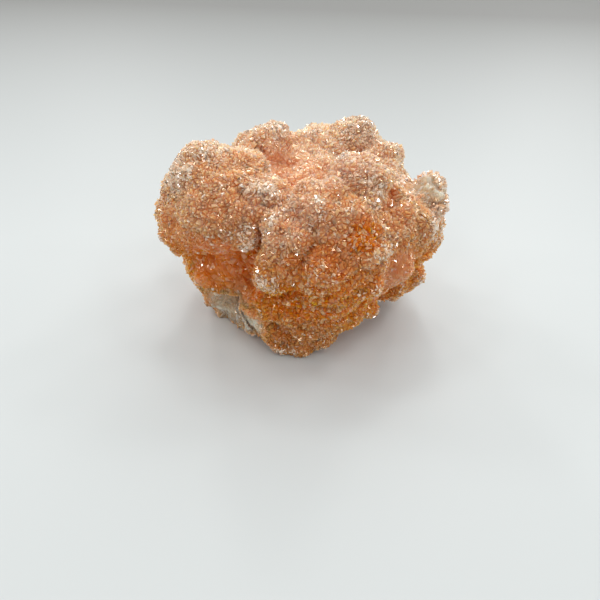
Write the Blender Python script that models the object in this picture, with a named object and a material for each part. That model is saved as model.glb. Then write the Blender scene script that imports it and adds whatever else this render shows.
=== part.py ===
"""Apophyllite cluster: one grown mass of rounded lobes, coated all over with small pointed crystals.

Metres, +Z up. -Y is the front, where the left shoulder and the big front face stand side by side over a
narrow chin. The cluster was broken off its rock, so its underside is one flat break. It lies on Z = 0, and the
origin is the middle of the cluster's outline on it.
"""

import math
import random

import bmesh
import bpy
from mathutils import Vector, noise
from mathutils.bvhtree import BVHTree

NAME = "apophyllite_cluster"
MM = 0.001
SEED = 41

# Every lobe is a rounded lump: its middle, then its half widths along X, Y and Z, all in millimetres.
LOBES = {
    "middle": ((1.0, 2.0, 15.0), (15.0, 11.0, 11.0)),
    "root": ((0.0, 3.0, 2.0), (12.0, 10.0, 7.0)),
    "saddle": ((0.5, 4.5, 20.5), (11.0, 8.0, 7.4)),
    "left_shoulder": ((-12.0, -2.5, 24.0), (8.6, 8.0, 7.6)),
    "left_crown": ((-14.8, -0.5, 29.6), (4.0, 4.2, 3.4)),
    "left_crown_step": ((-9.6, 0.5, 27.8), (4.2, 4.6, 3.9)),
    "left_brow": ((-18.8, -0.5, 26.0), (3.0, 3.6, 3.2)),
    "left_cheek": ((-20.1, -2.0, 22.2), (3.2, 3.6, 3.4)),
    "left_jowl": ((-18.2, -3.0, 19.4), (4.2, 4.2, 3.8)),
    "left_inner_rim": ((-5.8, -5.0, 26.0), (3.8, 4.0, 4.0)),
    "back_left_knob": ((-6.0, 10.0, 28.4), (3.5, 4.0, 3.5)),
    "back_left_step": ((-9.4, 8.0, 27.6), (3.0, 3.4, 3.0)),
    "back_dip": ((-1.6, 10.0, 26.6), (4.2, 5.0, 3.6)),
    "back_middle_knob": ((2.4, 12.0, 27.9), (3.3, 3.8, 3.1)),
    "back_ridge": ((6.4, 12.0, 27.2), (4.4, 4.6, 4.0)),
    "back_right_knob": ((9.0, 12.0, 29.6), (2.8, 3.2, 2.7)),
    "back_right_step": ((12.4, 9.0, 25.8), (4.4, 4.8, 4.2)),
    "ridge_top": ((8.2, -3.5, 28.2), (5.0, 4.6, 4.6)),
    "ridge_middle": ((2.4, -8.0, 26.6), (4.6, 4.4, 4.4)),
    "ridge_low": ((-1.4, -11.0, 23.2), (4.0, 4.0, 4.6)),
    "front_face": ((5.0, -7.0, 20.0), (10.0, 8.8, 9.6)),
    "front_left_knob": ((-3.2, -11.0, 18.6), (3.2, 3.6, 4.2)),
    "front_right_swell": ((12.6, -5.0, 19.0), (6.2, 5.8, 7.4)),
    "right_shoulder": ((16.4, -1.5, 22.4), (5.8, 6.4, 5.8)),
    "right_clear_knob": ((19.7, -0.8, 25.3), (3.5, 4.0, 3.8)),
    "right_elbow": ((18.9, -0.5, 18.8), (3.8, 4.4, 4.2)),
    "right_foot": ((17.0, 3.0, 9.4), (5.2, 6.0, 6.0)),
    "chin": ((2.2, -7.0, 11.0), (9.2, 7.0, 8.4)),
    "chin_tip": ((0.2, -8.3, 3.4), (6.0, 4.8, 4.8)),
    "chin_left": ((-5.4, -6.4, 7.6), (5.0, 5.2, 6.4)),
    "chin_right": ((8.0, -4.4, 8.8), (6.0, 5.4, 6.2)),
    "left_hollow": ((-11.8, 1.0, 12.2), (9.2, 8.4, 8.6)),
    "left_foot": ((-13.4, -0.8, 4.8), (5.2, 5.0, 4.8)),
    "left_toe": ((-8.8, -3.8, 3.6), (4.2, 4.2, 3.8)),
    "back_left_flank": ((-11.0, 9.0, 18.6), (8.0, 7.6, 8.4)),
    "back_left_foot": ((-8.0, 10.0, 7.0), (7.0, 6.4, 8.4)),
    "back_flank": ((3.0, 13.0, 17.0), (9.0, 6.4, 9.0)),
    "back_right_flank": ((13.0, 9.0, 17.5), (7.0, 7.2, 8.0)),
    "back_foot": ((6.0, 11.0, 6.4), (8.4, 6.6, 8.0)),
}

LUMP_FINENESS = 4             # how often the plates of a lump are split in four

# Small lumps on every lobe, which make it knobbly.
KNOBS_PER_LOBE = 13
KNOB_SHARE = (0.24, 0.44)     # of the lobe's least half width
KNOB_MOST = 2.3 * MM
KNOB_DEPTH = 0.38             # how much of a knob's half width lies under the lobe's surface
GOLDEN_ANGLE = math.pi * (3.0 - math.sqrt(5.0))

# The skin drawn round all the lobes, and how much its creases are softened.
SKIN_CELL = 0.55 * MM
SOFTEN_ROUNDS = 5
SOFTEN_SHARE = 0.5
# Swells and dents of three sizes, which keep the lobes from being true balls: their width, their height.
SWELLS = ((7.0 * MM, 0.8 * MM), (2.8 * MM, 0.40 * MM), (1.0 * MM, 0.22 * MM))

# The flat break.
CUT_CLOSENESS = 0.005 * MM
BREAK_SLOPE = -0.85           # how far down a plate of the break faces: 0 is sideways, -1 straight down
BREAK_LEVEL = 0.7 * MM        # the highest corner that such a plate has

# The crystals' feet: the skin is thinned to three-sided plates, and most of these are joined in pairs.
PLATES = 4450
PAIR_BEND = math.radians(60.0)
PAIR_SKEW = math.radians(80.0)

# The crystals: a point over every foot, a little aside from its middle.
POINT_HEIGHT = (0.30, 0.62)   # of a foot's width
POINT_MOST = 0.95 * MM
POINT_SHIFT = 0.16            # of a foot's width
POINT_LOWEST = 0.2 * MM       # crystals beside the break stay above it
CREASE_LOSS = 3.0             # how fast the crystals get lower towards a crease between lobes
CREASE_LEAST = 0.15           # the share of their height that they keep in the deepest crease
PARTING_ROUNDS = 5
PARTING_SHARE = 0.6           # of a crystal's height, taken off in each round

PEACH = (0.80, 0.46, 0.27, 1.0)
ROUGHNESS = 0.32


def clear_scene():
    for obj in list(bpy.data.objects):
        bpy.data.objects.remove(obj)


def druse_material():
    """Peach crystal, with the soft shine of many small faces."""
    material = bpy.data.materials.new("druse")
    material.use_nodes = True
    shader = material.node_tree.nodes["Principled BSDF"]
    shader.inputs["Base Color"].default_value = PEACH
    shader.inputs["Roughness"].default_value = ROUGHNESS
    shader.inputs["Metallic"].default_value = 0.0
    material.diffuse_color = PEACH
    return material


def spiral_directions(count, turn):
    """Directions spread evenly over a ball, from a spiral that winds from its top to its bottom."""
    for step in range(count):
        height = 1.0 - 2.0 * (step + 0.5) / count
        ring = math.sqrt(1.0 - height * height)
        angle = step * GOLDEN_ANGLE + turn
        yield Vector((ring * math.cos(angle), ring * math.sin(angle), height))


def lump_shape():
    """A ball of flat plates, one unit in radius, that every lobe and knob is stretched from."""
    ball = bmesh.new()
    bmesh.ops.create_icosphere(ball, subdivisions=LUMP_FINENESS, radius=1.0)
    shape = bpy.data.meshes.new("lump")
    ball.to_mesh(shape)
    ball.free()
    return shape


def add_lump(mesh, shape, middle, half_widths):
    first = len(mesh.verts)
    mesh.from_mesh(shape)
    for corner in mesh.verts[first:]:
        corner.co = middle + corner.co * half_widths


def add_knobs(mesh, shape, middle, half_widths, rng):
    """Small lumps that stand half out of one lobe's surface."""
    least = min(half_widths)
    for direction in spiral_directions(KNOBS_PER_LOBE, rng.uniform(0.0, 2.0 * math.pi)):
        size = min(least * rng.uniform(*KNOB_SHARE), KNOB_MOST)
        surface = middle + direction * half_widths
        inward = (middle - surface).normalized()
        spot = surface + inward * size * KNOB_DEPTH
        add_lump(mesh, shape, spot, Vector((size, size, size)))


def lobes_mesh(rng):
    """All lobes and knobs as closed lumps, which still pass through each other."""
    mesh = bmesh.new()
    shape = lump_shape()
    for middle_mm, half_widths_mm in LOBES.values():
        middle = Vector(middle_mm) * MM
        half_widths = Vector(half_widths_mm) * MM
        add_lump(mesh, shape, middle, half_widths)
        add_knobs(mesh, shape, middle, half_widths, rng)
    bpy.data.meshes.remove(shape)
    return mesh


def run_modifier(mesh, kind, **settings):
    """The mesh after one modifier."""
    data = bpy.data.meshes.new("work")
    mesh.to_mesh(data)
    mesh.free()
    obj = bpy.data.objects.new("work", data)
    bpy.context.collection.objects.link(obj)
    modifier = obj.modifiers.new("work", kind)
    for setting, value in settings.items():
        setattr(modifier, setting, value)
    depsgraph = bpy.context.evaluated_depsgraph_get()
    result = bmesh.new()
    result.from_object(obj, depsgraph)
    bpy.data.objects.remove(obj)
    bpy.data.meshes.remove(data)
    return result


def corners_joined_to(start):
    """All the corners that edges lead to from one corner."""
    found = {start}
    waiting = [start]
    while waiting:
        corner = waiting.pop()
        for edge in corner.link_edges:
            other = edge.other_vert(corner)
            if other not in found:
                found.add(other)
                waiting.append(other)
    return found


def keep_outer_skin(skin):
    """Drops the walls of any hollow that the lobes close in."""
    highest = max(skin.verts, key=lambda corner: corner.co.z)
    outer = corners_joined_to(highest)
    bmesh.ops.delete(skin, geom=[corner for corner in skin.verts if corner not in outer], context="VERTS")


def swell(skin):
    """Moves the skin in and out a little, so that no lobe is a true ball."""
    skin.normal_update()
    moves = []
    for corner in skin.verts:
        height = sum(tall * noise.noise(corner.co / wide) for wide, tall in SWELLS)
        moves.append(corner.normal * height)
    for corner, move in zip(skin.verts, moves):
        corner.co += move


def break_flat(skin):
    """Cuts the skin off at Z = 0, and closes the break."""
    bmesh.ops.bisect_plane(
        skin,
        geom=skin.verts[:] + skin.edges[:] + skin.faces[:],
        dist=CUT_CLOSENESS,
        plane_co=(0.0, 0.0, 0.0),
        plane_no=(0.0, 0.0, -1.0),
        clear_outer=True,
    )
    bmesh.ops.delete(skin, geom=[corner for corner in skin.verts if not corner.link_faces], context="VERTS")
    rim = [edge for edge in skin.edges if edge.is_boundary]
    bmesh.ops.triangle_fill(skin, use_beauty=True, edges=rim, normal=(0.0, 0.0, -1.0))


def level_break(skin):
    """Lays the corners of the break on Z = 0 again, after the plates have been thinned out."""
    skin.normal_update()
    downward = [face for face in skin.faces if face.normal.z < BREAK_SLOPE]
    for face in downward:
        for corner in face.verts:
            if corner.co.z < BREAK_LEVEL:
                corner.co.z = 0.0


def skin_over(lobes):
    """One closed skin over all the lobes, of plates about as wide as a crystal."""
    skin = run_modifier(lobes, "REMESH", mode="VOXEL", voxel_size=SKIN_CELL)
    skin = run_modifier(skin, "SMOOTH", factor=SOFTEN_SHARE, iterations=SOFTEN_ROUNDS)
    keep_outer_skin(skin)
    swell(skin)
    break_flat(skin)
    bmesh.ops.triangulate(skin, faces=skin.faces)
    skin = run_modifier(skin, "DECIMATE", decimate_type="COLLAPSE", ratio=PLATES / len(skin.faces))
    level_break(skin)
    return skin


def is_break(face):
    """Tells the flat break from the plates that carry crystals."""
    return all(corner.co.z == 0.0 for corner in face.verts)


def pair_plates(mesh):
    """Joins three-sided plates in pairs, because apophyllite's crystals have four sides."""
    bmesh.ops.join_triangles(
        mesh,
        faces=[face for face in mesh.faces if not is_break(face)],
        angle_face_threshold=PAIR_BEND,
        angle_shape_threshold=PAIR_SKEW,
    )


def hollowness(face, middle, normal, width):
    """How far the plates around this one rise over it, as a share of its width: above 0 in a crease."""
    rise = 0.0
    for edge in face.edges:
        for other in edge.link_faces:
            if other is not face:
                rise += (other.calc_center_median() - middle).dot(normal)
    return rise / (len(face.edges) * width)


def grow_crystals(mesh, rng):
    """Every plate becomes a crystal: flat faces that rise from its edges to one point.

    Gives back each point with the middle of its crystal's foot.
    """
    mesh.normal_update()
    plates = [face for face in mesh.faces if not is_break(face)]
    feet = []
    for face in plates:
        middle = face.calc_center_median()
        width = math.sqrt(face.calc_area())
        room = 1.0 - CREASE_LOSS * max(0.0, hollowness(face, middle, face.normal, width))
        feet.append((middle, face.normal.copy(), width, max(CREASE_LEAST, room)))
    points = bmesh.ops.poke(mesh, faces=plates)["verts"]
    for point, (middle, normal, width, room) in zip(points, feet):
        height = min(width * rng.uniform(*POINT_HEIGHT), POINT_MOST) * room
        aside = Vector((rng.uniform(-1.0, 1.0), rng.uniform(-1.0, 1.0), rng.uniform(-1.0, 1.0)))
        aside -= normal * aside.dot(normal)
        point.co = middle + normal * height + aside * width * POINT_SHIFT * room
        point.co.z = max(point.co.z, POINT_LOWEST)
    return {point: middle for point, (middle, _, _, _) in zip(points, feet)}


def crossing_faces(mesh):
    """Faces that pass through a face they have no corner in common with."""
    mesh.faces.ensure_lookup_table()
    tree = BVHTree.FromBMesh(mesh)
    crossing = set()
    for first, second in tree.overlap(tree):
        one = mesh.faces[first]
        other = mesh.faces[second]
        if first != second and not set(one.verts) & set(other.verts):
            crossing.update((one, other))
    return crossing


def part_crystals(mesh, middle_of):
    """Takes back the points of crystals that grew into each other across a crease."""
    for _ in range(PARTING_ROUNDS):
        crowded = {corner for face in crossing_faces(mesh) for corner in face.verts if corner in middle_of}
        for corner in crowded:
            corner.co = corner.co.lerp(middle_of[corner], PARTING_SHARE)


def centre_on_break(mesh):
    """Moves the middle of the cluster's outline to the origin."""
    low = Vector((min(v.co.x for v in mesh.verts), min(v.co.y for v in mesh.verts), 0.0))
    high = Vector((max(v.co.x for v in mesh.verts), max(v.co.y for v in mesh.verts), 0.0))
    bmesh.ops.translate(mesh, verts=mesh.verts, vec=-(low + high) / 2.0)


def cluster_mesh():
    rng = random.Random(SEED)
    mesh = skin_over(lobes_mesh(rng))
    pair_plates(mesh)
    part_crystals(mesh, grow_crystals(mesh, rng))
    bmesh.ops.triangulate(mesh, faces=mesh.faces)
    centre_on_break(mesh)
    bmesh.ops.recalc_face_normals(mesh, faces=mesh.faces)
    return mesh


def build():
    clear_scene()
    data = bpy.data.meshes.new(NAME)
    mesh = cluster_mesh()
    mesh.to_mesh(data)
    mesh.free()
    data.materials.append(druse_material())
    cluster = bpy.data.objects.new(NAME, data)
    bpy.context.collection.objects.link(cluster)
    return cluster


build()
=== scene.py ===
"""An apophyllite cluster: lobes grown together and coated with fine peach crystals, on a pale floor."""
import math

import bmesh
import bpy
import numpy as np
from mathutils import Matrix, Vector


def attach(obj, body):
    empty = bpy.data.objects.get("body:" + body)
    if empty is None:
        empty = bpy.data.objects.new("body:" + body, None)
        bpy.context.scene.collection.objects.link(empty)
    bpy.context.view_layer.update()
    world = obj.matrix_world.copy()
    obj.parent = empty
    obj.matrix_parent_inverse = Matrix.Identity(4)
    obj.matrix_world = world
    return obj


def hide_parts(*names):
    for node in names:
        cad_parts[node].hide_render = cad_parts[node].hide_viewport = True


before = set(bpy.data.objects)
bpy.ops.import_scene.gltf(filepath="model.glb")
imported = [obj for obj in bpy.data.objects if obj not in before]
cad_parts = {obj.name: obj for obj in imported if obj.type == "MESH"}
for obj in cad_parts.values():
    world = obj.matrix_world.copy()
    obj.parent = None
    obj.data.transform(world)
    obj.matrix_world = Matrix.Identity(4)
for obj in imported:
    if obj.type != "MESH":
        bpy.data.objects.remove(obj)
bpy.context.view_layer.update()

NODE = "apophyllite_cluster"
BODY = "root"
MM = 0.001
SEED = 17
LEAST_LENGTH = 1e-12
LEAST_AREA = 1e-15

# the skin of plates, each of which grows into one crystal
CELL = 0.40 * MM
SOFTEN_SHARE = 0.5
SOFTEN_ROUNDS = 6
JITTER = 0.13 * MM
TRIANGLES = 38000
JOIN_ANGLE = 1.0
JOIN_SHAPE = 1.4
LOW_EDGE = 0.35 * MM
FLAT = 0.001 * MM

# small rounded knobs of the skin: half width in mm, height as a share of it
KNOBS = 900
KNOB_WIDTH = (1.0, 2.1)
KNOB_HEIGHT = 0.34
KNOB_ROUNDNESS = 0.75
KNOB_SMOOTH_LOSS = 0.8

# how far the creases between the lobes are deepened, and how much less in smooth patches
CREASE_DEPTH = 0.55 * MM
CREASE_SMOOTH_LOSS = 0.7

# rounds of blurring that give the skin's soft normals and its hollows
BLUR_SHARE = 0.5
NORMAL_ROUNDS = 6
HOLLOW_ROUNDS = 50

# where things fade in along a measure, as start and width: hollows, rims and places in mm, patches in radii
SINK_FADE = (0.05, 1.1)
CREASE_FADE = (0.12, 0.6)
RIM_FADE = (0.45, 0.9)
HEIGHT_FADE = (14.0, 16.0)
BACK_FADE = (-10.0, 18.0)
PATCH_FADE = (-1.15, 0.6)

# painted light: how much paler the druse is painted where it is high, at the back and on rims, as if lit from
# above and behind with rims catching the light, less a little everywhere
PAINTED_LIGHT_HIGH = 0.6
PAINTED_LIGHT_BACK = 0.5
PAINTED_LIGHT_RIM = 0.25
PAINTED_LIGHT_LESS = 0.05

# painted shade: how much deeper orange its colour is painted in creases, where shade falls, and how much less
# up high
CREASE_SHADE = 0.75
CREASE_SHADE_HIGH_LOSS = 0.7

# crystals grown from plates, as shares of the plate's width
POINTED_HEIGHT = (0.40, 0.95)
BLOCKY_HEIGHT = (0.25, 0.65)
BLOCKY_SHARE = 0.35
BLOCKY_TAPER = (0.2, 0.45)
BLOCKY_TILT = 0.45
LEAN = 0.26

# the chance value of faces that are not a crystal's
PLAIN_GRAIN = 0.5

# how much lower crystals are in smooth patches, in hollows and below clear lumps
SMOOTH_LOSS = 0.9
HOLLOW_LOSS = 0.5
HOLLOW_GAIN = 0.8
BELOW_CLEAR_LOSS = 0.5

# crystals set in the skin: name, count, half width in mm, thickness share, height share, kind
SET_CRYSTALS = (
    ("crystals_peach", 2400, (0.22, 0.40), (0.75, 1.0), (0.6, 1.2), "druse"),
    # painted glints: pale crystals, clumped on rims and ridges, that stand in for glints
    ("crystals_cream", 1700, (0.20, 0.40), (0.6, 1.0), (0.5, 1.1), "cream"),
    ("blades_cream", 2900, (0.32, 0.62), (0.20, 0.34), (0.4, 0.8), "cream"),
    ("crystals_large", 120, (0.40, 0.62), (0.7, 1.0), (0.5, 0.9), "cream"),
    ("crystals_clear", 700, (0.20, 0.40), (0.6, 1.0), (0.7, 1.4), "glass"),
)
SET_TILT = 0.42
SET_ROOT = 1.3
SET_CORNER = 0.72
BLUNT_TOP = 0.55
SHARP_SHARE = 0.45
SHARP_TOP = 0.02
WAIST = (0.15, 0.5)

# one set crystal: four corners at the waist, four at the top and one at the root
# its first ten triangles make up five flat faces
RING = ((1, 1), (-1, 1), (-1, -1), (1, -1))
CRYSTAL_FACES = (
    (0, 1, 5), (0, 5, 4), (1, 2, 6), (1, 6, 5), (2, 3, 7), (2, 7, 6), (3, 0, 4), (3, 4, 7),
    (4, 5, 6), (4, 6, 7), (1, 0, 8), (2, 1, 8), (3, 2, 8), (0, 3, 8),
)
PAIRED_FACES = 10
CRYSTAL_TIPS = (0.6, 0.6, 0.6, 0.6, 1.0, 1.0, 1.0, 1.0, 0.3)

# the chance of set crystals by place: none near the floor, few in smooth patches and hollows
SET_LOWEST = 0.8 * MM
SET_SMOOTH_LOSS = 0.92
SET_LEVEL = 0.7
SET_HOLLOW_LOSS = 0.8
SET_LIMITS = (0.08, 2.2)

# how many more of them stand on a clear lump, as a share
SET_ON_LUMPS = {"clear_knob_right": 0.4, "clear_foot_left": -1.0, "clear_toe_left": -1.0}
SET_LUMP_GAIN = 3.0

# the pale crystals painted as glints, and the clear ones, gather in clumps, reach in mm
CLUMPS = 360
CLUMP_REACH = (0.8, 2.4)
CLUMP_EDGE = 1.2
CLUMP_POWER = 1.5
OUTSIDE_CLUMPS = 0.05

# how strongly a place draws clumps, and what share of crystals it has when it draws none
DRAW_LEAST = 0.08
DRAW_LILAC = 1.0
DRAW_RIM = 1.2
DRAW_HIGH = 0.3
# glint spots: the places where the painted glints gather most
DRAW_GLINT_SPOTS = 3.0
DRAW_SMOOTH_LOSS = 0.9
UNDRAWN = 0.25

# clear lumps: name, middle and reach in mm, a point of the body below, how far the body sinks to it
CLEAR_LUMPS = (
    ("clear_knob_right", (20.8, -3.2, 27.4), 6.0, (14.6, -1.6, 21.5), 0.62),
    ("clear_foot_left", (-13.2, -7.4, 4.2), 6.2, (-6.5, -2.5, 7.5), 0.40),
    ("clear_toe_left", (-8.4, -12.0, 5.0), 4.4, (-5.2, -6.0, 7.5), 0.35),
)
LUMP_EDGE = 0.7
LUMP_OVERLAP = 1.12
LUMP_RELIEF = 0.8
LUMP_RELIEF_LOSS = 0.2
LEAST_WAY = 0.015

# broad flat faces of the clear lumps
FACET_EVERY = 10
LEAST_FACETS = 8
FACET_TILT = 0.45
FACET_REACH = 3.0 * MM
FACET_RISE = 0.15 * MM
FACET_SHIFT = (-0.6 * MM, 0.55 * MM)
FACET_EDGE_GAIN = 2.0
FACET_SLOPE = 0.3
OUT_OF_REACH = 1.0

# where the surface differs: middle in mm, radius in mm, strength
PATCHES = {
    "lilac": (
        ((7.5, -5.5, 33.5), 4.6, 1.0),
        ((4.0, -7.5, 31.0), 3.6, 1.0),
        ((-0.5, -12.0, 29.0), 4.2, 0.7),
        ((-3.0, -14.5, 26.0), 3.6, 0.4),
        ((-5.0, -9.0, 29.5), 4.4, 0.5),
        ((-19.5, -6.0, 30.5), 3.4, 0.3),
        ((15.5, -1.0, 28.5), 3.4, 0.6),
        ((16.5, -13.0, 17.0), 5.0, 0.3),
    ),
    "smooth": (
        ((-12.5, -10.0, 17.0), 7.6, 1.0),
        ((-9.5, -9.5, 11.5), 4.6, 0.9),
        ((-15.5, -10.0, 14.0), 4.6, 1.0),
        ((16.5, -13.0, 17.0), 5.4, 1.0),
        ((16.0, -10.0, 11.0), 5.4, 0.8),
        ((-1.5, 2.5, 28.0), 6.4, 0.6),
        ((-20.5, -9.0, 21.0), 3.8, 0.5),
        ((-13.0, -8.0, 5.5), 6.4, 0.5),
        ((-8.5, -12.0, 6.0), 3.6, 0.4),
        ((18.5, -3.0, 29.0), 2.8, 1.0),
        ((20.0, -5.0, 28.0), 1.4, 0.7),
    ),
    # glint spots: where the pale crystals painted as glints gather most
    "glint_spots": (
        ((-5.5, -9.0, 29.5), 2.6, 1.0),
        ((-4.5, -3.5, 28.5), 2.4, 0.9),
        ((-4.5, 1.0, 27.0), 2.2, 0.8),
        ((-16.0, -10.5, 20.0), 2.4, 0.9),
        ((-12.0, -12.0, 22.0), 2.4, 0.9),
        ((-7.5, -13.0, 23.5), 2.4, 1.0),
        ((-4.5, -16.5, 19.0), 2.2, 1.0),
        ((-4.5, -16.0, 16.0), 2.2, 0.9),
        ((-19.5, -6.0, 30.5), 3.4, 1.0),
        ((-14.5, -2.0, 33.0), 3.6, 0.7),
        ((23.0, -5.0, 21.0), 3.0, 0.9),
        ((21.5, -7.5, 24.0), 2.8, 1.0),
        ((15.5, -1.0, 28.5), 3.0, 1.0),
        ((10.0, -10.0, 30.0), 2.6, 0.8),
        ((2.5, -17.0, 17.5), 2.0, 0.7),
        ((12.5, -14.5, 22.5), 2.2, 0.6),
        ((-6.0, 8.0, 32.5), 4.2, 0.6),
        ((10.0, 9.5, 33.0), 4.6, 0.6),
    ),
    "deep": (
        ((9.0, -15.0, 26.0), 3.4, 1.0),
        ((3.0, -17.0, 21.0), 6.0, 0.6),
        ((12.0, -14.0, 19.0), 4.5, 0.5),
        ((1.0, -16.5, 14.0), 7.0, 1.0),
        ((8.0, -15.0, 12.0), 6.0, 0.8),
        ((-13.0, -10.0, 19.0), 6.0, 0.7),
        ((-8.0, -11.5, 15.5), 5.0, 0.7),
    ),
    # painted light: a paler patch at the back that stands in for light shining through the crystal
    "painted_glow": (
        ((2.0, 8.5, 30.5), 7.0, 0.9),
    ),
    "brown": (
        ((1.0, -14.5, 4.0), 7.4, 1.0),
        ((-9.5, -9.5, 10.5), 3.4, 0.9),
        ((16.5, -13.0, 17.0), 5.0, 0.5),
    ),
}

# colours of the druse
PEACH_LOW = (0.76, 0.222, 0.010)
# painted light: the paler peach painted where the druse is lit from above and behind and on rims
PEACH_PAINTED_LIT = (0.85, 0.545, 0.36)
# deeper orange, also painted as shade in the creases
DEEP_ORANGE = (0.73, 0.158, 0.001)
BROWN = (0.60, 0.20, 0.04)
# painted light: paler peach where light shines through at the back
PAINTED_GLOW = (0.96, 0.66, 0.44)
LILAC = (0.84, 0.50, 0.34)
# paler body under the clear lumps: partly the pale crystal there, partly painted light that stands in for
# light coming through the lumps
UNDER_CLEAR_PALE_LIT = (0.99, 0.72, 0.46)
# painted highlight: pale crystals that stand in for light caught inside them
PAINTED_HIGHLIGHT_GRAIN = (0.99, 0.76, 0.56)
# painted glints: golden crystals where the colour is deep
GOLD_GLINT = (1.0, 0.66, 0.34)
# painted shade: dark crystals that stand in for shade inside them
PAINTED_SHADE_GRAIN = (0.62, 0.20, 0.04)
# painted shade: darker at the crystals' feet, between the crystals
FOOT_PAINTED_SHADE = (0.60, 0.17, 0.02)
BREAK_DARK = (0.74, 0.40, 0.20)
BREAK_LIGHT = (0.93, 0.70, 0.50)

# how its colour varies: over which span of a crystal's chance value or height, and how strongly; the light
# and dark crystals picked by chance are painted highlights and painted shade for light caught inside them
HIGHLIGHT_SPAN = (0.70, 1.0)
HIGHLIGHT_SHARE = 0.22
SET_HIGHLIGHT_GAIN = 0.10
SHADE_SPAN = (0.0, 0.3)
SHADE_SHARE = 0.36
# painted glints where the colour is deep
GOLD_GLINT_SPAN = (0.82, 0.96)
GOLD_GLINT_SHARE = 0.6
# painted shade at the crystals' feet
FOOT_SPAN = (0.0, 0.6)
FOOT_SHARE = 0.34
UNDER_CLEAR_SPAN = (0.5, 1.0)
MOTTLE_SCALE = 450.0
MOTTLE_SPAN = (0.4, 0.6)

# its gloss, and the light that wanders inside it
DRUSE_ROUGHNESS = (0.03, 0.16)
BREAK_ROUGHNESS = 0.6
DRUSE_MIRRORS = 0.06
SPECULAR_LEVEL = 0.8
SPECULAR_TINT = (1.0, 0.80, 0.58)
COAT_TINT = (1.0, 0.94, 0.88)
SKIN_WANDERING = 0.92
WANDER_LENGTH = 2.0 * MM
WANDER_RADII = (1.0, 0.80, 0.50)

# pale crystals, painted highlights that stand in for glints
CREAM_GLINT_LOW = (0.96, 0.60, 0.35)
CREAM_GLINT_HIGH = (1.0, 0.89, 0.74)
CREAM_GLINT_DEEP = (0.95, 0.55, 0.24)
CREAM_ROUGHNESS = (0.06, 0.30)
CREAM_MIRRORS = 0.50

# small clear crystals
GLASS_LOW = (1.0, 0.72, 0.50)
# painted light: paler where the druse is painted lit
GLASS_PAINTED_LIT = (1.0, 0.86, 0.74)
GLASS_LILAC = (0.98, 0.88, 0.82)
GLASS_ROUGHNESS = (0.02, 0.18)
GLASS_CLEARNESS = 0.85

# clear lumps, with milky streaks inside
STREAK_SCALE = 420.0
STREAK_SPAN = (0.50, 0.64)
CLEAR_BODY = (0.99, 0.68, 0.44)
CLEAR_STREAK = (1.0, 0.90, 0.72)
# painted highlights and painted shade on crystals of the lumps picked by chance
CLEAR_HIGHLIGHT = (1.0, 0.94, 0.84)
CLEAR_HIGHLIGHT_SPAN = (0.7, 1.0)
CLEAR_HIGHLIGHT_SHARE = 0.6
CLEAR_SHADE = (0.82, 0.44, 0.20)
CLEAR_SHADE_SPAN = (0.0, 0.35)
CLEAR_SHADE_SHARE = 0.5
THIN_LOW = (0.93, 0.35, 0.10)
# painted light: paler where the druse is painted lit
THIN_PAINTED_LIT = (0.90, 0.52, 0.30)
THIN_SPAN = (0.15, 0.85)
THICK_SPAN = (0.2, 0.7)
CLEARNESS = (0.42, 0.14)
CLEAR_ROUGHNESS_SPAN = (0.3, 0.7)
CLEAR_ROUGHNESS = (0.01, 0.10)
CLEAR_WANDER_LENGTH = 1.5 * MM
CLEAR_WANDER_RADII = (0.8, 0.8, 0.8)

# what every kind of crystal shares
IOR = 1.54
MIRROR_IOR = 3.0
MIRROR_ROUGHNESS = 0.10
MIRROR_STEP = 0.01
STRIATIONS = 5200.0
STRIATION_DEPTH = 0.02 * MM
STRIATION_STRENGTH = 0.25
GLASS_STRIATION_STRENGTH = 0.15

# the plain light: the key lamp's azimuth from the front, elevation and distance
KEY_LAMP = (170, 48, 0.6)
KEY_RADIUS = 0.14
KEY_RADIANCE = 2.0

# small lamps that make glints, each with its azimuth, elevation and radiance
GLINT_DISTANCE = 0.5
GLINT_RADIUS = 0.039
GLINT_STRENGTH = 0.78
GLINT_LAMPS = (
    (205, 30, 20), (150, 26, 20), (120, 42, 18), (240, 40, 18), (90, 30, 14), (270, 28, 14), (180, 66, 18),
    (60, 52, 12), (300, 50, 12), (20, 66, 12), (335, 38, 10), (35, 34, 10), (100, 64, 14), (255, 62, 14),
)
AIM_HEIGHT = 0.015

# the sky, its strength from below to above and from the front to the back
SKY_COLOUR = (1.0, 0.98, 0.95)
SKY_LOW_TO_HIGH = (0.45, 0.95)
SKY_FRONT_TO_BACK = (0.30, 1.04)

# the floor, its colour from the front to the back
FLOOR_SIZE = 0.9
FLOOR_NEAR = (0.62, 0.66, 0.665)
FLOOR_FAR = (0.25, 0.255, 0.25)
FLOOR_FADE = (0.01, 0.26)
FLOOR_CELLS = 40
FLOOR_ROUGHNESS = 0.55

# the camera, its focal length in widths of the picture
FOCAL_WIDTHS = 496.0 / 600.0
SENSOR = 36.0
PITCH = math.radians(41.6)
ROLL = math.radians(2.0)
CAMERA_PLACE = (0.285 * MM, -74.039 * MM, 66.0 * MM)
CLIP_START = 1.0 * MM

rng = np.random.default_rng(SEED)


def unit(vectors):
    return vectors / np.maximum(np.linalg.norm(vectors, axis=-1, keepdims=True), LEAST_LENGTH)


def smoothstep(x):
    x = np.clip(x, 0.0, 1.0)
    return x * x * (3.0 - 2.0 * x)


def ramp(x, start, width):
    """A soft rise from 0 at the start to 1 a width further on."""
    return smoothstep((x - start) / width)


def patch(points, kind):
    """How strongly a kind of patch is felt at each point, from 0 to 1."""
    felt = np.zeros(len(points))
    for middle, radius, strength in PATCHES[kind]:
        far = np.linalg.norm(points / MM - np.array(middle), axis=1) / radius
        felt = np.maximum(felt, strength * ramp(-far, *PATCH_FADE))
    return felt


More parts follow.
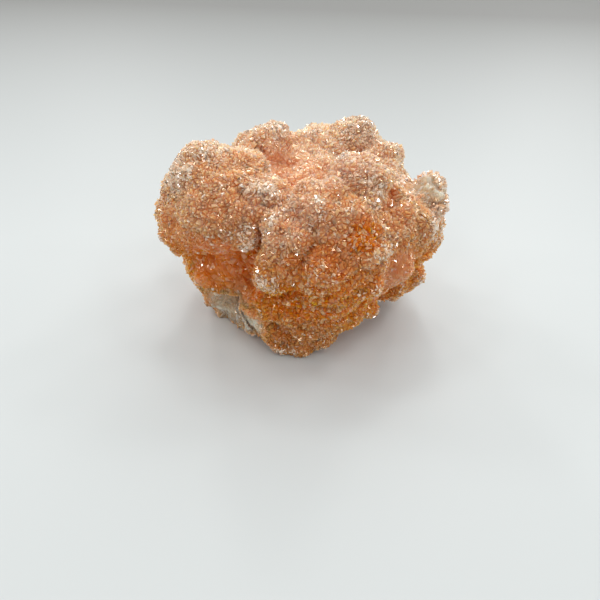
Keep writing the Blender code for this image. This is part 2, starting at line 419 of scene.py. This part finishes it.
def run_modifier(mesh, kind, **settings):
    """The mesh after one modifier."""
    data = bpy.data.meshes.new("work")
    mesh.to_mesh(data)
    mesh.free()
    holder = bpy.data.objects.new("work", data)
    bpy.context.scene.collection.objects.link(holder)
    modifier = holder.modifiers.new("work", kind)
    for name, value in settings.items():
        setattr(modifier, name, value)
    result = bmesh.new()
    result.from_object(holder, bpy.context.evaluated_depsgraph_get())
    bpy.data.objects.remove(holder)
    bpy.data.meshes.remove(data)
    return result


def drop_small_islands(mesh):
    """Leaves only the largest connected part of a mesh."""
    left = set(mesh.verts)
    islands = []
    while left:
        island = {left.pop()}
        front = list(island)
        while front:
            for edge in front.pop().link_edges:
                for v in edge.verts:
                    if v not in island:
                        island.add(v)
                        front.append(v)
        left -= island
        islands.append(island)
    islands.sort(key=len)
    for island in islands[:-1]:
        bmesh.ops.delete(mesh, geom=list(island), context="VERTS")


def skin_plates():
    """The solid's skin without its coarse crystals, in small plates of three or four sides."""
    mesh = bmesh.new()
    mesh.from_mesh(bpy.data.objects[NODE].data)
    mesh = run_modifier(mesh, "REMESH", mode="VOXEL", voxel_size=CELL)
    mesh = run_modifier(mesh, "SMOOTH", factor=SOFTEN_SHARE, iterations=SOFTEN_ROUNDS)
    bmesh.ops.triangulate(mesh, faces=mesh.faces)
    for v in mesh.verts:
        v.co += Vector(rng.uniform(-JITTER, JITTER, 3))
        if v.co.z < LOW_EDGE:
            v.co.z = 0.0
    mesh = run_modifier(mesh, "DECIMATE", decimate_type="COLLAPSE", ratio=TRIANGLES / len(mesh.faces))
    bmesh.ops.join_triangles(
        mesh, faces=mesh.faces, angle_face_threshold=JOIN_ANGLE, angle_shape_threshold=JOIN_SHAPE
    )
    drop_small_islands(mesh)
    mesh.verts.index_update()
    mesh.normal_update()
    places = np.array([v.co for v in mesh.verts])
    normals = np.array([v.normal for v in mesh.verts])
    edges = np.array([[v.index for v in e.verts] for e in mesh.edges])
    plates = [[v.index for v in f.verts] for f in mesh.faces]
    mesh.free()
    return places, normals, edges, plates


def blurred(values, rounds):
    """Values of the corners, spread along the edges."""
    values = values.copy()
    count = np.zeros(len(values))
    np.add.at(count, edges[:, 0], 1.0)
    np.add.at(count, edges[:, 1], 1.0)
    count = count.reshape((-1,) + (1,) * (values.ndim - 1))
    for _ in range(rounds):
        total = np.zeros_like(values)
        np.add.at(total, edges[:, 0], values[edges[:, 1]])
        np.add.at(total, edges[:, 1], values[edges[:, 0]])
        values += (total / count - values) * BLUR_SHARE
    return values


def knob_lift():
    """How far small rounded knobs lift each corner."""
    lift = np.zeros(len(verts))
    for c in rng.choice(len(verts), KNOBS, replace=False):
        half = rng.uniform(*KNOB_WIDTH) * MM
        far = ((verts - verts[c]) ** 2).sum(axis=1) / (half * half)
        near = far < 1.0
        lift[near] = np.maximum(lift[near], KNOB_HEIGHT * half * (1.0 - far[near]) ** KNOB_ROUNDNESS)
    lift *= 1.0 - KNOB_SMOOTH_LOSS * smooth_at
    return (lift - lift.mean()) * (verts[:, 2] > FLAT)


# the skin's corners, and what lies where on it
verts, normals, edges, plates = skin_plates()
smooth_at = patch(verts, "smooth")
soft = unit(blurred(normals, NORMAL_ROUNDS))
verts = verts + soft * knob_lift()[:, None]
hollow = ((blurred(verts, HOLLOW_ROUNDS) - verts) * soft).sum(axis=1) / MM
on_break = verts[:, 2] < FLAT
sink = CREASE_DEPTH * ramp(hollow, *SINK_FADE) * ~on_break * (1.0 - CREASE_SMOOTH_LOSS * smooth_at)
verts = verts - soft * sink[:, None]

height_share = ramp(verts[:, 2] / MM, *HEIGHT_FADE)
back_share = ramp(verts[:, 1] / MM, *BACK_FADE)
rim = ramp(-hollow, *RIM_FADE)
crease = ramp(hollow, *CREASE_FADE)

shares = {}
sunk = verts.copy()
for name, middle, reach, below, depth in CLEAR_LUMPS:
    far = np.linalg.norm(verts / MM - np.array(middle), axis=1) / reach
    shares[name] = ramp(-far, -1.0, LUMP_EDGE) * ~on_break
    sunk += (np.array(below) * MM - verts) * (shares[name] * depth)[:, None]
clear_at = np.max(list(shares.values()), axis=0)

fields = {kind: patch(verts, kind) for kind in ("lilac", "brown", "painted_glow")}
# painted light: paler up high, at the back and on rims, where light from above and behind falls
painted_light = PAINTED_LIGHT_HIGH * height_share + PAINTED_LIGHT_BACK * back_share - PAINTED_LIGHT_LESS + PAINTED_LIGHT_RIM * rim
fields["painted_light"] = np.clip(painted_light, 0.0, 1.0)
# painted shade: deeper orange in the creases, joined with the listed deep patches
crease_shade = CREASE_SHADE * crease * (1.0 - CREASE_SHADE_HIGH_LOSS * height_share)
fields["deep"] = np.maximum(patch(verts, "deep"), crease_shade)
fields["clear"] = clear_at
fields["broken"] = on_break.astype(float)


class Growth:
    """Collects corners and faces with what the material reads from them."""

    def __init__(self):
        self.points = []
        self.tips = []
        self.sources = []
        self.faces = []
        self.grains = []

    def point(self, place, tip, source):
        self.points.append(tuple(place))
        self.tips.append(tip)
        self.sources.append(source)
        return len(self.points) - 1

    def face(self, corners, grain):
        self.faces.append(corners)
        self.grains.append(grain)

    def sheet(self, corners):
        """A plate left flat, cut along its shorter diagonal."""
        p = np.array([self.points[c] for c in corners])
        if len(corners) == 4 and np.linalg.norm(p[1] - p[3]) < np.linalg.norm(p[0] - p[2]):
            corners = corners[1:] + corners[:1]
        for i in range(1, len(corners) - 1):
            self.face([corners[0], corners[i], corners[i + 1]], PLAIN_GRAIN)

    def crystal(self, corners, p, relief, source):
        """A plate grown into one crystal, pointed or blocky."""
        middle = p.mean(axis=0)
        sides = len(corners)
        across = np.cross(p[2] - p[0], p[3] - p[1]) if sides == 4 else np.cross(p[1] - p[0], p[2] - p[0])
        size = math.sqrt(across.dot(across))
        normal = across / max(size, LEAST_AREA)
        width = math.sqrt(size * 0.5)
        grain = rng.random()
        lean = rng.uniform(-1.0, 1.0, 3)
        lean -= normal * lean.dot(normal)
        if sides == 4 and rng.random() < BLOCKY_SHARE:
            rise = width * rng.uniform(*BLOCKY_HEIGHT) * relief
            taper = rng.uniform(*BLOCKY_TAPER)
            top = []
            for q in p:
                arm = (q - middle) * (1.0 - taper)
                place = middle + arm + normal * (rise + arm.dot(lean) * BLOCKY_TILT)
                top.append(self.point(place, 1.0, source))
            self.face([top[0], top[1], top[2]], grain)
            self.face([top[0], top[2], top[3]], grain)
            for i in range(4):
                j = (i + 1) % 4
                self.face([corners[i], corners[j], top[j]], grain)
                self.face([corners[i], top[j], top[i]], grain)
        else:
            rise = width * rng.uniform(*POINTED_HEIGHT) * relief
            top = self.point(middle + normal * rise + lean * width * LEAN * relief, 1.0, source)
            for i in range(sides):
                self.face([corners[i], corners[(i + 1) % sides], top], grain)


def relief_of(corners):
    """Crystals are low in smooth patches and in creases."""
    smooth = smooth_at[corners].mean()
    depth = max(0.0, hollow[corners].mean())
    return (1.0 - SMOOTH_LOSS * smooth) * (1.0 - HOLLOW_LOSS * min(1.0, depth * HOLLOW_GAIN))


class Nodes:
    """Short ways to add the nodes of one material."""

    def __init__(self, name):
        self.material = bpy.data.materials.new(name)
        self.material.use_nodes = True
        self.tree = self.material.node_tree
        self.shader = self.tree.nodes["Principled BSDF"]

    def put(self, socket, value):
        if isinstance(value, bpy.types.NodeSocket):
            self.tree.links.new(value, socket)
        elif isinstance(value, tuple):
            socket.default_value = value + (1.0,)
        else:
            socket.default_value = value

    def set(self, **values):
        for name, value in values.items():
            self.put(self.shader.inputs[name.replace("_", " ")], value)

    def attribute(self, name):
        node = self.tree.nodes.new("ShaderNodeAttribute")
        node.attribute_name = name
        return node.outputs["Fac"]

    def noise(self, scale):
        node = self.tree.nodes.new("ShaderNodeTexNoise")
        where = self.tree.nodes.new("ShaderNodeTexCoord")
        self.tree.links.new(where.outputs["Object"], node.inputs["Vector"])
        node.inputs["Scale"].default_value = scale
        return node.outputs["Fac"]

    def mix(self, share, first, second):
        node = self.tree.nodes.new("ShaderNodeMix")
        node.data_type = "RGBA"
        self.put(node.inputs[0], share)
        self.put(node.inputs[6], first)
        self.put(node.inputs[7], second)
        return node.outputs[2]

    def span(self, value, low, high, start=0.0, end=1.0):
        node = self.tree.nodes.new("ShaderNodeMapRange")
        for socket, item in zip(node.inputs, (value, low, high, start, end)):
            self.put(socket, item)
        return node.outputs[0]

    def math(self, operation, first, second):
        node = self.tree.nodes.new("ShaderNodeMath")
        node.operation = operation
        self.put(node.inputs[0], first)
        self.put(node.inputs[1], second)
        return node.outputs[0]

    def striations(self, strength):
        """Fine lines and growth marks on the faces."""
        node = self.tree.nodes.new("ShaderNodeBump")
        node.inputs["Strength"].default_value = strength
        node.inputs["Distance"].default_value = STRIATION_DEPTH
        self.put(node.inputs["Height"], self.noise(STRIATIONS))
        self.put(self.shader.inputs["Normal"], node.outputs[0])

    def wander(self, weight, length, radii):
        """Light that wanders inside."""
        self.set(Subsurface_Weight=weight, Subsurface_Scale=length)
        self.shader.inputs["Subsurface Radius"].default_value = radii

    def mirror_faces(self, share):
        """A share of the faces, picked by chance, mirrors the lamps strongly."""
        mirror = self.span(self.attribute("facet"), 1.0 - MIRROR_STEP - share, 1.0 + MIRROR_STEP - share)
        self.set(Coat_Weight=mirror, Coat_Roughness=MIRROR_ROUGHNESS, Coat_IOR=MIRROR_IOR)


def druse_material(name, wandering, extra_highlight):
    """Peach crystals, with light that wanders inside where they are one with the body."""
    n = Nodes(name)
    grain = n.attribute("grain")
    broken = n.attribute("broken")
    # painted light: paler where the druse is painted lit
    colour = n.mix(n.attribute("painted_light"), PEACH_LOW, PEACH_PAINTED_LIT)
    # painted shade in the creases, and deeper orange at the deep patches
    colour = n.mix(n.attribute("deep"), colour, DEEP_ORANGE)
    colour = n.mix(n.attribute("brown"), colour, BROWN)
    colour = n.mix(n.attribute("lilac"), colour, LILAC)
    # painted light: paler where light shines through at the back
    colour = n.mix(n.attribute("painted_glow"), colour, PAINTED_GLOW)
    # partly the pale crystal under the clear lumps, partly painted light coming through them
    colour = n.mix(n.span(n.attribute("clear"), *UNDER_CLEAR_SPAN), colour, UNDER_CLEAR_PALE_LIT)
    # painted highlights and painted shade on crystals picked by chance
    colour = n.mix(n.span(grain, *HIGHLIGHT_SPAN, 0.0, HIGHLIGHT_SHARE + extra_highlight), colour, PAINTED_HIGHLIGHT_GRAIN)
    colour = n.mix(n.span(grain, *SHADE_SPAN, SHADE_SHARE, 0.0), colour, PAINTED_SHADE_GRAIN)
    # painted glints: golden crystals where the colour is deep
    gold_glints = n.math("MULTIPLY", n.span(grain, *GOLD_GLINT_SPAN, 0.0, GOLD_GLINT_SHARE), n.attribute("deep"))
    colour = n.mix(gold_glints, colour, GOLD_GLINT)
    # painted shade: darker at the crystals' feet, between the crystals
    colour = n.mix(n.span(n.attribute("tip"), *FOOT_SPAN, FOOT_SHARE, 0.0), colour, FOOT_PAINTED_SHADE)
    rough_break = n.mix(n.span(n.noise(MOTTLE_SCALE), *MOTTLE_SPAN), BREAK_DARK, BREAK_LIGHT)
    colour = n.mix(broken, colour, rough_break)
    of_break = n.math("MULTIPLY", broken, BREAK_ROUGHNESS)
    roughness = n.math("MAXIMUM", n.span(grain, 0.0, 1.0, *DRUSE_ROUGHNESS), of_break)
    n.set(Base_Color=colour, Roughness=roughness, IOR=IOR)
    n.set(Specular_IOR_Level=SPECULAR_LEVEL, Specular_Tint=SPECULAR_TINT)
    n.mirror_faces(DRUSE_MIRRORS)
    n.set(Coat_Tint=COAT_TINT)
    n.striations(STRIATION_STRENGTH)
    n.wander(wandering, WANDER_LENGTH, WANDER_RADII)
    return n.material


def glint_cream_material(name):
    """Pale crystals that catch the light: their pale colour is a painted highlight standing in for glints,
    and some faces mirror the lamps.
    """
    n = Nodes(name)
    colour = n.mix(n.attribute("grain"), CREAM_GLINT_LOW, CREAM_GLINT_HIGH)
    # painted shade in the creases, and deeper orange at the deep patches
    colour = n.mix(n.attribute("deep"), colour, CREAM_GLINT_DEEP)
    n.set(Base_Color=colour, Roughness=n.span(n.attribute("facet"), 0.0, 1.0, *CREAM_ROUGHNESS), IOR=IOR)
    n.mirror_faces(CREAM_MIRRORS)
    n.striations(STRIATION_STRENGTH)
    return n.material


def glass_material(name):
    """Small clear crystals."""
    n = Nodes(name)
    # painted light: paler where the druse is painted lit
    colour = n.mix(n.attribute("painted_light"), GLASS_LOW, GLASS_PAINTED_LIT)
    colour = n.mix(n.attribute("lilac"), colour, GLASS_LILAC)
    n.set(Base_Color=colour, Roughness=n.span(n.attribute("facet"), 0.0, 1.0, *GLASS_ROUGHNESS), IOR=IOR)
    n.set(Transmission_Weight=GLASS_CLEARNESS)
    n.striations(GLASS_STRIATION_STRENGTH)
    return n.material


def clear_material(name):
    """A clear lump: beige and see-through where it is thick, like the druse around it where it is thin."""
    n = Nodes(name)
    noise = n.noise(STREAK_SCALE)
    streak = n.span(noise, *STREAK_SPAN)
    share = n.attribute("clear")
    grain = n.attribute("grain")
    colour = n.mix(streak, CLEAR_BODY, CLEAR_STREAK)
    # painted highlights and painted shade on crystals picked by chance
    colour = n.mix(n.span(grain, *CLEAR_HIGHLIGHT_SPAN, 0.0, CLEAR_HIGHLIGHT_SHARE), colour, CLEAR_HIGHLIGHT)
    colour = n.mix(n.span(grain, *CLEAR_SHADE_SPAN, CLEAR_SHADE_SHARE, 0.0), colour, CLEAR_SHADE)
    # painted light: the thin edge is paler where the druse is painted lit
    edge = n.mix(n.attribute("painted_light"), THIN_LOW, THIN_PAINTED_LIT)
    colour = n.mix(n.span(share, *THIN_SPAN), edge, colour)
    n.set(Base_Color=colour, Roughness=n.span(noise, *CLEAR_ROUGHNESS_SPAN, *CLEAR_ROUGHNESS), IOR=IOR)
    clearness = n.span(streak, 0.0, 1.0, *CLEARNESS)
    n.set(Transmission_Weight=n.math("MULTIPLY", n.span(share, *THICK_SPAN), clearness))
    n.wander(1.0, CLEAR_WANDER_LENGTH, CLEAR_WANDER_RADII)
    return n.material


def new_piece(name, points, polygons, material):
    data = bpy.data.meshes.new(name)
    data.from_pydata(points, [], polygons)
    data.materials.append(material)
    piece = bpy.data.objects.new(name, data)
    bpy.context.scene.collection.objects.link(piece)
    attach(piece, BODY)
    return piece


def set_attribute(piece, name, domain, values):
    layer = piece.data.attributes.new(name, "FLOAT", domain)
    layer.data.foreach_set("value", np.asarray(values, dtype=np.float32))


def set_fields(piece, sources):
    """Gives each corner the fields of the skin's corner that it comes from."""
    for kind, values in fields.items():
        set_attribute(piece, kind, "POINT", values[sources])


def grown_piece(name, growth, material):
    points = np.array(growth.points)
    points[:, 2] = np.maximum(points[:, 2], 0.0)
    piece = new_piece(name, points.tolist(), growth.faces, material)
    set_attribute(piece, "tip", "POINT", growth.tips)
    set_attribute(piece, "grain", "FACE", growth.grains)
    set_attribute(piece, "facet", "FACE", rng.random(len(growth.faces)))
    set_fields(piece, growth.sources)
    return piece


def make_skin():
    """The druse's skin, which stands for the solid and sinks below the clear lumps."""
    growth = Growth()
    for index, place in enumerate(sunk):
        growth.point(place, 0.0, index)
    for corners in plates:
        if on_break[corners].all():
            growth.sheet(corners)
        else:
            relief = relief_of(corners) * (1.0 - BELOW_CLEAR_LOSS * clear_at[corners].mean())
            growth.crystal(corners, sunk[corners], relief, corners[0])
    skin = grown_piece("druse_skin", growth, druse_material("druse_skin", SKIN_WANDERING, 0.0))
    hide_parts(NODE)


def faceted(share):
    """How far each corner of a clear lump moves along its normal, so that the lump shows broad flat faces."""
    members = np.flatnonzero(share > 0.0)
    centres = rng.choice(members, max(LEAST_FACETS, len(members) // FACET_EVERY), replace=False)
    facing = unit(soft[centres] + rng.normal(0.0, FACET_TILT, (len(centres), 3)))
    rise = np.full((len(members), len(centres)), OUT_OF_REACH)
    for i, c in enumerate(centres):
        slope = soft[members] @ facing[i]
        gap = ((verts[c] - verts[members]) @ facing[i]) / np.maximum(slope, FACET_SLOPE)
        far = np.linalg.norm(verts[members] - verts[c], axis=1)
        near = (far < FACET_REACH) & (slope > FACET_SLOPE)
        rise[near, i] = gap[near] + FACET_RISE
    moved = np.zeros(len(share))
    moved[members] = np.clip(rise.min(axis=1), *FACET_SHIFT)
    return moved * smoothstep(share * FACET_EDGE_GAIN)


def lump_plates(share):
    """The plates that a clear lump covers and their rim, grown until the rim never touches itself."""
    chosen = {i for i, corners in enumerate(plates) if share[corners].max() > 0.0}
    while True:
        sides = {(plates[i][k - 1], plates[i][k]) for i in chosen for k in range(len(plates[i]))}
        rim = sorted((a, b) for a, b in sides if (b, a) not in sides)
        starts = [a for a, _ in rim]
        touching = {a for a in starts if starts.count(a) > 1}
        if not touching:
            return [plates[i] for i in sorted(chosen)], rim
        chosen |= {i for i, corners in enumerate(plates) if touching.intersection(corners)}


def make_clear_lump(name, below, depth, material):
    """A closed clear piece between the outer faces and the sunk body."""
    share = shares[name]
    outer = verts + soft * faceted(share)[:, None]
    covered, rim = lump_plates(share)
    growth = Growth()
    of_outer = {}
    of_inner = {}
    for c in sorted({c for corners in covered for c in corners}):
        way = min(1.0, max(LEAST_WAY, share[c] * depth * LUMP_OVERLAP))
        of_outer[c] = growth.point(outer[c], 0.0, c)
        of_inner[c] = growth.point(verts[c] + (np.array(below) * MM - verts[c]) * way, 0.0, c)
    for corners in covered:
        relief = relief_of(corners) * (LUMP_RELIEF - LUMP_RELIEF_LOSS * share[corners].mean())
        relief *= ~on_break[corners].all()
        growth.crystal([of_outer[c] for c in corners], outer[corners], relief, corners[0])
        growth.sheet([of_inner[c] for c in corners][::-1])
    for a, b in rim:
        growth.face([of_outer[b], of_outer[a], of_inner[a]], PLAIN_GRAIN)
        growth.face([of_outer[b], of_inner[a], of_inner[b]], PLAIN_GRAIN)
    grown_piece(name, growth, material)


def in_clumps(draw):
    """How far each corner lies in a clump of pale crystals, from 0 to 1."""
    clump = np.zeros(len(verts))
    for c in rng.choice(len(verts), CLUMPS, replace=False, p=draw / draw.sum()):
        far = np.linalg.norm(verts - verts[c], axis=1) / (rng.uniform(*CLUMP_REACH) * MM)
        clump = np.maximum(clump, smoothstep(CLUMP_EDGE - far))
    return clump


make_skin()
clear = clear_material("clear")
for name, middle, reach, below, depth in CLEAR_LUMPS:
    make_clear_lump(name, below, depth, clear)

# the skin in triangles, and the chance of a set crystal on each
tris = np.array([[p[0], p[i], p[i + 1]] for p in plates for i in range(1, len(p) - 1)])
ta, tb, tc = (verts[tris[:, i]] for i in range(3))
cross = np.cross(tb - ta, tc - ta)
tri_normals = unit(cross)
wanted = np.linalg.norm(cross, axis=1) * (verts[tris][:, :, 2].mean(axis=1) > SET_LOWEST)
wanted *= 1.0 - SET_SMOOTH_LOSS * smooth_at[tris].mean(axis=1)
for name, more in SET_ON_LUMPS.items():
    wanted *= 1.0 + more * smoothstep(SET_LUMP_GAIN * shares[name][tris].mean(axis=1))
wanted *= np.clip(SET_LEVEL - SET_HOLLOW_LOSS * hollow[tris].mean(axis=1), *SET_LIMITS)
wanted /= wanted.sum()

draw = DRAW_LEAST + DRAW_LILAC * fields["lilac"] + DRAW_RIM * rim + DRAW_HIGH * height_share
draw += DRAW_GLINT_SPOTS * patch(verts, "glint_spots")
draw *= 1.0 - DRAW_SMOOTH_LOSS * smooth_at
clustered = wanted * (OUTSIDE_CLUMPS + in_clumps(draw)[tris].mean(axis=1) ** CLUMP_POWER)
clustered *= UNDRAWN + draw[tris].mean(axis=1)
clustered /= clustered.sum()


def set_crystals(name, count, half_width, thickness, height, chance, material):
    """Many small crystals in one piece, each a waist, a top and a root."""
    pick = rng.choice(len(tris), count, p=chance)
    u = rng.random((count, 2))
    flip = u.sum(axis=1) > 1
    u[flip] = 1 - u[flip]
    place = ta[pick] + (tb - ta)[pick] * u[:, :1] + (tc - ta)[pick] * u[:, 1:]
    axis = unit(tri_normals[pick] + rng.normal(0.0, SET_TILT, (count, 3)))
    side = unit(np.cross(axis, rng.normal(size=(count, 3))))
    other = np.cross(axis, side)
    half = rng.uniform(*half_width, count) * MM
    thin = half * rng.uniform(*thickness, count)
    rise = half * rng.uniform(*height, count)
    top = rng.uniform(0.0, BLUNT_TOP, count)
    top[rng.random(count) < SHARP_SHARE] = SHARP_TOP
    waist = rise * rng.uniform(*WAIST, count)
    corners = len(CRYSTAL_TIPS)
    points = np.zeros((count, corners, 3))
    for i, (x, y) in enumerate(RING):
        across = (side * (x * half)[:, None] + other * (y * thin)[:, None]) * SET_CORNER
        points[:, i] = place + across + axis * waist[:, None]
        points[:, len(RING) + i] = place + across * top[:, None] + axis * rise[:, None]
    points[:, -1] = place - axis * (half * SET_ROOT)[:, None]
    points = points.reshape(-1, 3)
    points[:, 2] = np.maximum(points[:, 2], 0.0)
    polygons = np.array(CRYSTAL_FACES)[None] + corners * np.arange(count)[:, None, None]
    facet = rng.random((count, len(CRYSTAL_FACES)))
    facet[:, 1:PAIRED_FACES:2] = facet[:, 0:PAIRED_FACES:2]
    piece = new_piece(name, points.tolist(), polygons.reshape(-1, 3).tolist(), material)
    set_attribute(piece, "tip", "POINT", np.tile(CRYSTAL_TIPS, count))
    set_attribute(piece, "grain", "FACE", np.repeat(rng.random(count), len(CRYSTAL_FACES)))
    set_attribute(piece, "facet", "FACE", facet.reshape(-1))
    set_fields(piece, np.repeat(tris[pick, 0], corners))


for name, *sizes, kind in SET_CRYSTALS:
    if kind == "druse":
        set_crystals(name, *sizes, wanted, druse_material(name, 0.0, SET_HIGHLIGHT_GAIN))
    elif kind == "cream":
        set_crystals(name, *sizes, clustered, glint_cream_material(name))
    else:
        set_crystals(name, *sizes, clustered, glass_material(name))


def make_floor():
    mesh = bmesh.new()
    bmesh.ops.create_grid(mesh, x_segments=FLOOR_CELLS, y_segments=FLOOR_CELLS, size=FLOOR_SIZE)
    data = bpy.data.meshes.new("floor")
    mesh.to_mesh(data)
    mesh.free()
    floor = bpy.data.objects.new("floor", data)
    bpy.context.scene.collection.objects.link(floor)
    n = Nodes("floor")
    where = n.tree.nodes.new("ShaderNodeTexCoord")
    parts = n.tree.nodes.new("ShaderNodeSeparateXYZ")
    n.tree.links.new(where.outputs["Object"], parts.inputs[0])
    colour = n.mix(n.span(parts.outputs[1], *FLOOR_FADE), FLOOR_NEAR, FLOOR_FAR)
    n.set(Base_Color=colour, Roughness=FLOOR_ROUGHNESS)
    data.materials.append(n.material)


def make_sky():
    """Plain soft light from all around, weaker from below and from the front."""
    world = bpy.data.worlds.new("studio")
    bpy.context.scene.world = world
    world.use_nodes = True
    nodes = world.node_tree.nodes
    links = world.node_tree.links
    coords = nodes.new("ShaderNodeTexCoord")
    split = nodes.new("ShaderNodeSeparateXYZ")
    links.new(coords.outputs["Generated"], split.inputs[0])
    strength = nodes.new("ShaderNodeMath")
    strength.operation = "MULTIPLY"
    spans = ((2, 0.0, SKY_LOW_TO_HIGH), (1, -1.0, SKY_FRONT_TO_BACK))
    for slot, (axis, low, (start, end)) in enumerate(spans):
        span = nodes.new("ShaderNodeMapRange")
        links.new(split.outputs[axis], span.inputs[0])
        for socket, value in zip(list(span.inputs)[1:5], (low, 1.0, start, end)):
            socket.default_value = value
        links.new(span.outputs[0], strength.inputs[slot])
    links.new(strength.outputs[0], nodes["Background"].inputs[1])
    nodes["Background"].inputs[0].default_value = SKY_COLOUR + (1.0,)


def make_lamp(name, azimuth, elevation, far, radius, radiance):
    """A round lamp that faces the cluster."""
    a = math.radians(azimuth)
    e = math.radians(elevation)
    place = Vector((math.sin(a) * math.cos(e), -math.cos(a) * math.cos(e), math.sin(e))) * far
    data = bpy.data.lights.new(name, "AREA")
    data.shape = "DISK"
    data.size = 2 * radius
    data.energy = radiance * math.pi * math.pi * radius * radius
    lamp = bpy.data.objects.new(name, data)
    lamp.location = place
    lamp.rotation_mode = "QUATERNION"
    lamp.rotation_quaternion = (Vector((0, 0, AIM_HEIGHT)) - place).to_track_quat("-Z", "Y")
    bpy.context.scene.collection.objects.link(lamp)


def make_camera():
    data = bpy.data.cameras.new("photo")
    data.sensor_width = SENSOR
    data.lens = FOCAL_WIDTHS * SENSOR
    data.clip_start = CLIP_START
    ahead = Vector((0, math.cos(PITCH), -math.sin(PITCH)))
    up = Vector((0, math.sin(PITCH), math.cos(PITCH)))
    right = Vector((1, 0, 0))
    x_axis = right * math.cos(ROLL) + up * math.sin(ROLL)
    y_axis = up * math.cos(ROLL) - right * math.sin(ROLL)
    placed = Matrix((x_axis, y_axis, -ahead)).transposed().to_4x4()
    placed.translation = Vector(CAMERA_PLACE)
    camera = bpy.data.objects.new("photo", data)
    camera.matrix_world = placed
    bpy.context.scene.collection.objects.link(camera)
    bpy.context.scene.camera = camera


make_floor()
make_sky()
make_lamp("key", *KEY_LAMP, KEY_RADIUS, KEY_RADIANCE)
for i, (azimuth, elevation, radiance) in enumerate(GLINT_LAMPS):
    make_lamp(f"glint_{i}", azimuth, elevation, GLINT_DISTANCE, GLINT_RADIUS, radiance * GLINT_STRENGTH)
make_camera()
bpy.context.scene.view_settings.view_transform = "Standard"
